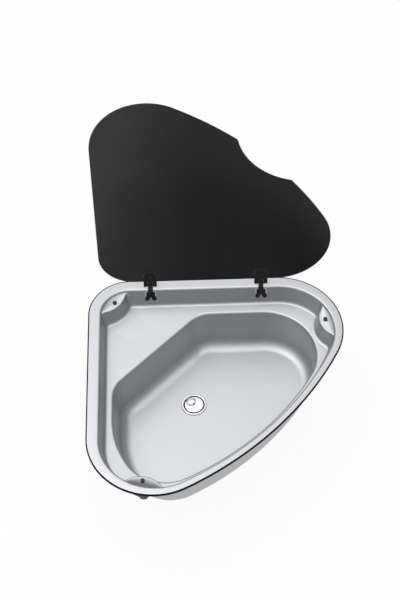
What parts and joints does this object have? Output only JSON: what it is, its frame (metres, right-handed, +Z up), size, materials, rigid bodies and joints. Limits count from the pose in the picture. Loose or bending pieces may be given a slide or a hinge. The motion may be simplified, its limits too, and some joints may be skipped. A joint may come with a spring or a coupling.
{
  "type": "corner kitchen sink with hinged glass lid",
  "caption": "Pressed steel corner sink with a bowed front, a sloped bowl with plug and waste, rim clamps and a hinged black glass lid.",
  "frame": {"origin": "on the drain's axis, at the worktop's surface (the underside of the rim seal)", "axes": "+X right along the hinged back edge, +Y to the back, +Z up"},
  "size_m": [0.5, 0.5361, 0.6646],
  "materials": {
    "brushed_sheet": "satin, fine even grain",
    "bright_steel": "bright polished stainless steel",
    "zinc_steel": "bright zinc plate on steel",
    "cast_zinc": "dark coated die casting",
    "brass_bush": "turned brass",
    "black_steel": "black powder coat, semi-matt",
    "black_rubber": "matt black rubber",
    "black_plastic": "matt black plastic",
    "black_glass": "toughened black glass, polished"
  },
  "bodies": {
    "sink": {"sink_pressing": "brushed_sheet", "rim_seal": "black_rubber", "bracket_screws": "bright_steel", "bracket_nuts": "zinc_steel", "strainer_cup": "bright_steel", "flange_seal": "black_rubber", "waste_washer": "black_rubber", "lock_nut": "black_plastic", "waste_body": "black_plastic", "hinge_bracket_left": "black_steel", "wall_plate_left": "bright_steel", "hinge_pin_left": "bright_steel", "hinge_bracket_right": "black_steel", "wall_plate_right": "bright_steel", "hinge_pin_right": "bright_steel", "clamp_screw_front": "zinc_steel", "clamp_cap_front": "black_plastic", "clamp_screw_right": "zinc_steel", "clamp_cap_right": "black_plastic", "clamp_screw_back": "zinc_steel", "clamp_cap_back": "black_plastic"},
    "lid": {"glass_lid": "black_glass", "lid_leaf_left": "black_steel", "clamp_plate_left": "black_steel", "glass_gaskets_left": "black_rubber", "lid_screw_left": "zinc_steel", "lid_leaf_right": "black_steel", "clamp_plate_right": "black_steel", "glass_gaskets_right": "black_rubber", "lid_screw_right": "zinc_steel"},
    "plug": {"plug_disc": "bright_steel", "plug_seal": "black_rubber", "plug_eye": "bright_steel"},
    "pull_ring": {"pull_ring": "bright_steel"},
    "bush_front": {"clamp_bush_front": "brass_bush"},
    "bush_right": {"clamp_bush_right": "brass_bush"},
    "bush_back": {"clamp_bush_back": "brass_bush"},
    "arm_front": {"clamp_arm_front": "cast_zinc"},
    "arm_right": {"clamp_arm_right": "cast_zinc"},
    "arm_back": {"clamp_arm_back": "cast_zinc"}
  },
  "joints": [
    {"name": "lid_hinge", "type": "hinge", "parent": "sink", "child": "lid", "pos_m": [0, 0.2015, 0.0129], "axis": [1, 0, 0], "range_deg": [0, 96.4]},
    {"name": "plug_lift", "type": "slide", "parent": "sink", "child": "plug", "axis": [0, 0, 1], "range_m": [0, 0.025]},
    {"name": "pull_ring_lift", "type": "hinge", "parent": "plug", "child": "pull_ring", "pos_m": [0, 0, -0.121], "axis": [0.7071, 0.7071, 0], "range_deg": [0, 100]},
    {"name": "clamp_rise_front", "type": "slide", "parent": "sink", "child": "bush_front", "axis": [0, 0, 1], "range_m": [0, 0.025]},
    {"name": "clamp_swing_front", "type": "hinge", "parent": "bush_front", "child": "arm_front", "pos_m": [-0.0963, -0.2511, -0.042], "axis": [0, 0, 1], "range_deg": [0, 90]},
    {"name": "clamp_rise_right", "type": "slide", "parent": "sink", "child": "bush_right", "axis": [0, 0, 1], "range_m": [0, 0.025]},
    {"name": "clamp_swing_right", "type": "hinge", "parent": "bush_right", "child": "arm_right", "pos_m": [0.2626, 0.1078, -0.042], "axis": [0, 0, 1], "range_deg": [0, 90]},
    {"name": "clamp_rise_back", "type": "slide", "parent": "sink", "child": "bush_back", "axis": [0, 0, 1], "range_m": [0, 0.025]},
    {"name": "clamp_swing_back", "type": "hinge", "parent": "bush_back", "child": "arm_back", "pos_m": [-0.1513, 0.1628, -0.042], "axis": [0, 0, 1], "range_deg": [0, 90]}
  ]
}
